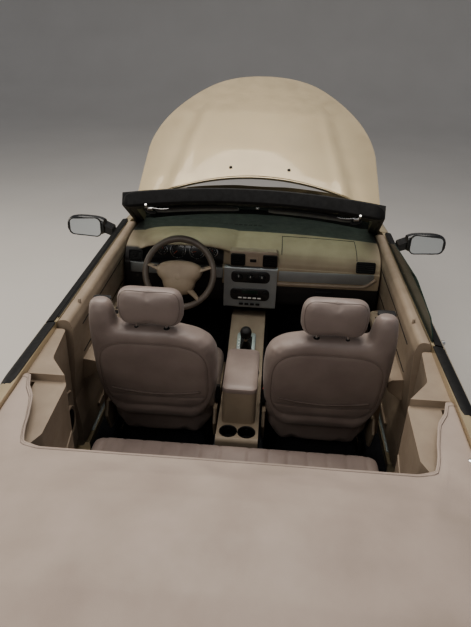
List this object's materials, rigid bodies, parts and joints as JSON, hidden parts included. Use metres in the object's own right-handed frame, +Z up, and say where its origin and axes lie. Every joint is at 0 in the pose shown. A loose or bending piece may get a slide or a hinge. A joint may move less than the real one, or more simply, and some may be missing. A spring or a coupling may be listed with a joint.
{
  "type": "convertible car",
  "caption": "Open four-seat car with a soft cover over its folded top, raised hood, opening doors and trunk lid, and steered front wheels.",
  "frame": {"origin": "on the ground, midway along the car's length and on its centre plane", "axes": "+X forward along the car, +Y to its left, +Z up"},
  "size_m": [4.9201, 2.076, 1.6292],
  "materials": {
    "paint": "metallic champagne-gold clear-coated paint",
    "black_trim": "black weatherstrip rubber and satin trim",
    "black_plastic": "grained black plastic",
    "mirror_black": "black mirror housing",
    "glass": "green-tinted glass",
    "lamp_red": "ribbed red lens",
    "lamp_clear": "clear lens",
    "grille_metal": "bright bars",
    "structure": "painted inner steel",
    "leather": "beige leather with sewn seams",
    "cover_vinyl": "taupe vinyl over the folded top",
    "trim_beige": "soft beige interior plastic",
    "dash_mix": "beige pad with a grey upper zone",
    "bezel": "silver-grey painted bezel",
    "carpet": "dark carpet",
    "cast_metal": "cast aluminium",
    "steel": "bare and painted steel",
    "tyre": "black tyre",
    "alloy": "silver-painted alloy",
    "wheel_leather": "dark grip with a beige hub pad"
  },
  "bodies": {
    "chassis": {"front_fenders": "paint", "quarter_panels": "paint", "tail_lamps": "lamp_red", "rear_fascia": "paint", "front_fascia": "paint", "headlamps": "lamp_clear", "grille": "grille_metal", "windshield_frame": "paint", "windshield": "glass", "header_trim": "black_trim", "sun_visors": "black_plastic", "cowl": "black_plastic", "sills": "paint", "floor_pan": "carpet", "front_structure": "structure", "rear_structure": "structure", "wheel_liners": "black_plastic", "seat_left": "leather", "seat_right": "leather", "rear_seat": "leather", "quarter_trims": "trim_beige", "boot_cover": "cover_vinyl", "dashboard": "dash_mix", "centre_stack": "bezel", "console": "trim_beige", "engine": "cast_metal", "engine_bay_boxes": "black_plastic", "radiator": "cast_metal", "front_suspension": "steel", "rear_suspension": "steel", "exhaust": "steel"},
    "hood": {"hood": "paint"},
    "trunk_lid": {"trunk_lid": "paint"},
    "door_left": {"door_left": "paint", "door_trim_left": "trim_beige", "belt_strip_left": "black_trim", "mirror_left": "mirror_black"},
    "door_right": {"door_right": "paint", "door_trim_right": "trim_beige", "belt_strip_right": "black_trim", "mirror_right": "mirror_black", "window_right": "glass"},
    "steering_wheel": {"steering_wheel": "wheel_leather"},
    "knuckle_left": {"knuckle_left": "steel"},
    "knuckle_right": {"knuckle_right": "steel"},
    "wheel_front_left": {"tyre_front_left": "tyre", "rim_front_left": "alloy"},
    "wheel_front_right": {"tyre_front_right": "tyre", "rim_front_right": "alloy"},
    "wheel_rear_left": {"tyre_rear_left": "tyre", "rim_rear_left": "alloy"},
    "wheel_rear_right": {"tyre_rear_right": "tyre", "rim_rear_right": "alloy"}
  },
  "joints": [
    {"name": "hood_hinge", "type": "hinge", "parent": "chassis", "child": "hood", "pos_m": [0.83, 0, 0.885], "axis": [0, -1, 0], "range_deg": [-35, 0]},
    {"name": "trunk_hinge", "type": "hinge", "parent": "chassis", "child": "trunk_lid", "pos_m": [-1.868, 0, 1.001], "axis": [0, 1, 0], "range_deg": [0, 70]},
    {"name": "door_hinge_left", "type": "hinge", "parent": "chassis", "child": "door_left", "pos_m": [0.847, 0.852, 0.57], "axis": [0, 0, -1], "range_deg": [0, 65]},
    {"name": "door_hinge_right", "type": "hinge", "parent": "chassis", "child": "door_right", "pos_m": [0.847, -0.852, 0.57], "axis": [0, 0, 1], "range_deg": [0, 65]},
    {"name": "steer_left", "type": "hinge", "parent": "chassis", "child": "knuckle_left", "pos_m": [1.45, 0.715, 0.326], "axis": [0, 0, 1], "range_deg": [-30, 30]},
    {"name": "steer_right", "type": "hinge", "parent": "chassis", "child": "knuckle_right", "pos_m": [1.45, -0.715, 0.326], "axis": [0, 0, 1], "range_deg": [-30, 30]},
    {"name": "steering_column", "type": "hinge", "parent": "chassis", "child": "steering_wheel", "pos_m": [0.147, 0.36, 0.889], "axis": [-0.9135, 0, 0.4067], "range_deg": [-480, 480]},
    {"name": "spin_front_left", "type": "hinge", "parent": "knuckle_left", "child": "wheel_front_left", "pos_m": [1.45, 0.755, 0.326], "axis": [0, 1, 0], "continuous": true},
    {"name": "spin_front_right", "type": "hinge", "parent": "knuckle_right", "child": "wheel_front_right", "pos_m": [1.45, -0.755, 0.326], "axis": [0, 1, 0], "continuous": true},
    {"name": "spin_rear_left", "type": "hinge", "parent": "chassis", "child": "wheel_rear_left", "pos_m": [-1.242, 0.755, 0.326], "axis": [0, 1, 0], "continuous": true},
    {"name": "spin_rear_right", "type": "hinge", "parent": "chassis", "child": "wheel_rear_right", "pos_m": [-1.242, -0.755, 0.326], "axis": [0, 1, 0], "continuous": true}
  ],
  "couplings": [
    {"joint": "steer_right", "follows": "steer_left", "ratio": 1},
    {"joint": "steering_column", "follows": "steer_left", "ratio": 16}
  ]
}
